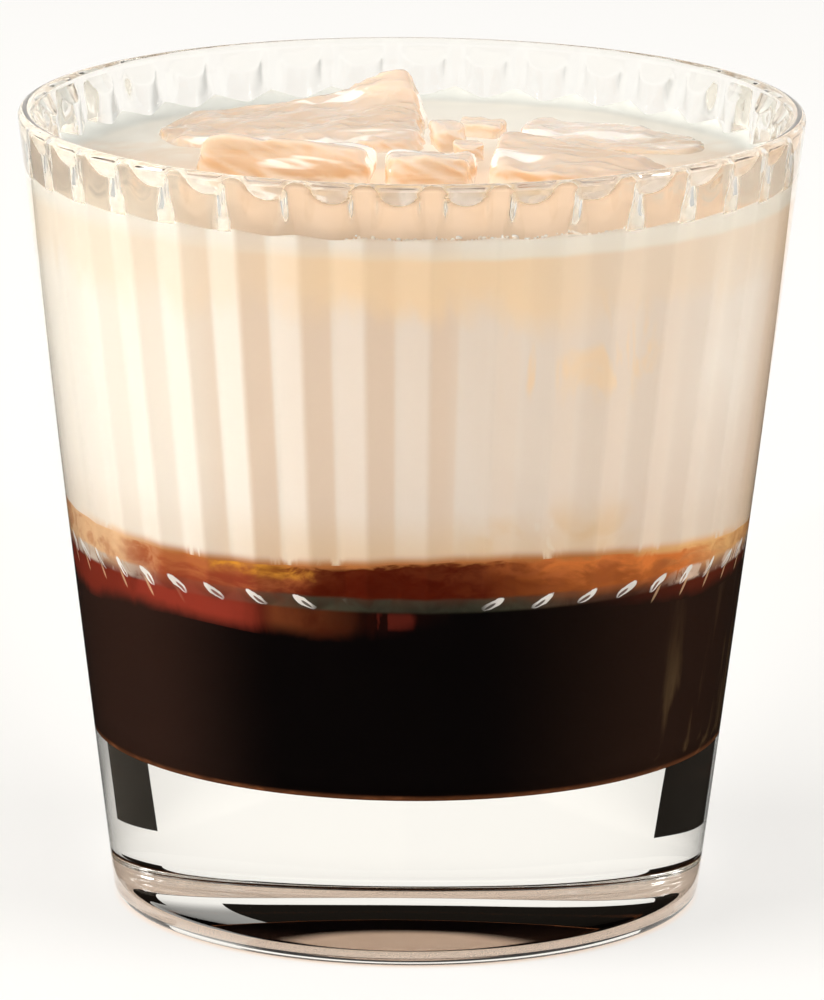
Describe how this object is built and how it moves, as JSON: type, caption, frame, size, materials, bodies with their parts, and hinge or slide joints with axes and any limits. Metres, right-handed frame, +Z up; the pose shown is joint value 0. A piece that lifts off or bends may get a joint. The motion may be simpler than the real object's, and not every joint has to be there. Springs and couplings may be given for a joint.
{
  "type": "white russian in a fluted tumbler",
  "caption": "Layered coffee and cream cocktail over ice in a tapered glass tumbler with flutes inside its wall and a thick clear foot.",
  "frame": {"origin": "middle of the tumbler's foot, level with the flat ring it stands on, on the table", "axes": "+Z up through the rim, -Y towards the side the picture shows"},
  "size_m": [0.092, 0.092, 0.0944],
  "materials": {
    "clear_glass": "clear polished",
    "coffee": "dark liquid",
    "blend": "red-brown liquid",
    "cream": "cream",
    "ice": "wet ice coated in cream"
  },
  "bodies": {
    "root": {"glass": "clear_glass", "coffee": "coffee", "blended_layer": "blend", "cream": "cream", "ice_back_left": "ice", "ice_front_left": "ice", "ice_front_middle": "ice", "ice_back_right": "ice", "ice_front_right": "ice", "ice_chip_middle": "ice", "ice_chip_back": "ice", "ice_chip_front": "ice"}
  },
  "joints": []
}
